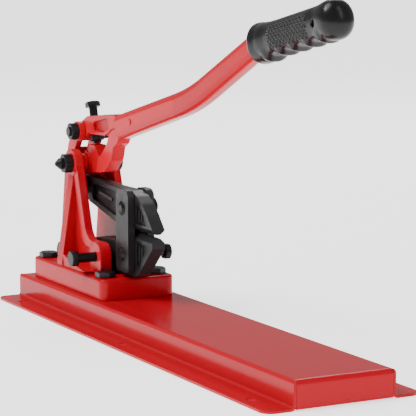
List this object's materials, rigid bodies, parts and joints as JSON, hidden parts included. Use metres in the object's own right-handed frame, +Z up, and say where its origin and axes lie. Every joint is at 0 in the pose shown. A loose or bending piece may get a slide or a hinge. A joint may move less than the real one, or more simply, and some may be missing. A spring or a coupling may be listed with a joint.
{
  "type": "bench metal shear",
  "caption": "Bench-mounted metal shear with a long channel base, a cast frame, compound-lever jaws joined by straps, set bolts and a long bent handle with a moulded grip.",
  "frame": {"origin": "centre of the four end bench bolt holes, in the plane the base rests on", "axes": "+X along the base from the jaws towards the handle end, +Y across the base, +Z up away from the bench"},
  "size_m": [0.6, 0.155, 0.3397],
  "materials": {
    "sheet_red": "gloss",
    "cast_red": "gloss",
    "tube_red": "gloss",
    "jaw_black": "black oxide, satin",
    "fastener_black": "black oxide, satin",
    "grip_black": "gloss"
  },
  "bodies": {
    "base": {"base_channel": "sheet_red", "bed_frame": "cast_red", "bed_bolts": "fastener_black", "bed_washers": "fastener_black", "bed_nuts": "fastener_black", "lower_jaw": "jaw_black", "rear_jaw_bolt": "fastener_black", "rear_jaw_nut": "fastener_black", "rear_spacers": "fastener_black", "fulcrum_bolt": "fastener_black", "fulcrum_nut": "fastener_black", "fulcrum_spacers": "cast_red"},
    "straps": {"strap_left": "jaw_black", "strap_right": "jaw_black", "upper_pivot_bolt": "fastener_black", "upper_pivot_nut": "fastener_black", "lower_pivot_bolt": "fastener_black", "lower_pivot_nut": "fastener_black"},
    "upper_jaw": {"upper_jaw": "jaw_black", "tail_pin": "fastener_black", "tail_washers": "fastener_black"},
    "link": {"link": "cast_red", "link_bolt": "fastener_black", "link_nut": "fastener_black"},
    "lever": {"yoke_upper_arm": "cast_red", "yoke_lower_arm": "cast_red", "handle_tube": "tube_red", "handle_cross_pin": "tube_red", "hand_grip": "grip_black", "adjusting_lock_nut": "fastener_black"},
    "adjusting_bolt": {"adjusting_bolt": "fastener_black"},
    "set_bolt_left": {"set_bolt_left": "fastener_black"},
    "set_bolt_right": {"set_bolt_right": "fastener_black"}
  },
  "joints": [
    {"name": "lever_swing", "type": "hinge", "parent": "base", "child": "lever", "pos_m": [-0.214, 0, 0.156], "axis": [0, -1, 0], "range_deg": [0, 60]},
    {"name": "link_swing", "type": "hinge", "parent": "lever", "child": "link", "pos_m": [-0.222, 0, 0.189], "axis": [0, -1, 0], "range_deg": [-36, 0]},
    {"name": "strap_rock", "type": "hinge", "parent": "base", "child": "straps", "pos_m": [-0.108, 0, 0.072], "axis": [0, -1, 0], "range_deg": [0, 4]},
    {"name": "jaw_swing", "type": "hinge", "parent": "straps", "child": "upper_jaw", "pos_m": [-0.108, 0, 0.1195], "axis": [0, -1, 0], "range_deg": [0, 4]},
    {"name": "adjusting_bolt_travel", "type": "slide", "parent": "lever", "child": "adjusting_bolt", "axis": [-0.291, 0, 0.9567], "range_m": [0, 0.008]},
    {"name": "set_bolt_left_travel", "type": "slide", "parent": "base", "child": "set_bolt_left", "axis": [0, -1, 0], "range_m": [0, 0.008]},
    {"name": "set_bolt_right_travel", "type": "slide", "parent": "base", "child": "set_bolt_right", "axis": [0, 1, 0], "range_m": [0, 0.008]}
  ],
  "couplings": [
    {"joint": "link_swing", "follows": "lever_swing", "ratio": -0.5893},
    {"joint": "strap_rock", "follows": "lever_swing", "ratio": 0.0654},
    {"joint": "jaw_swing", "follows": "lever_swing", "ratio": 0.0654}
  ]
}
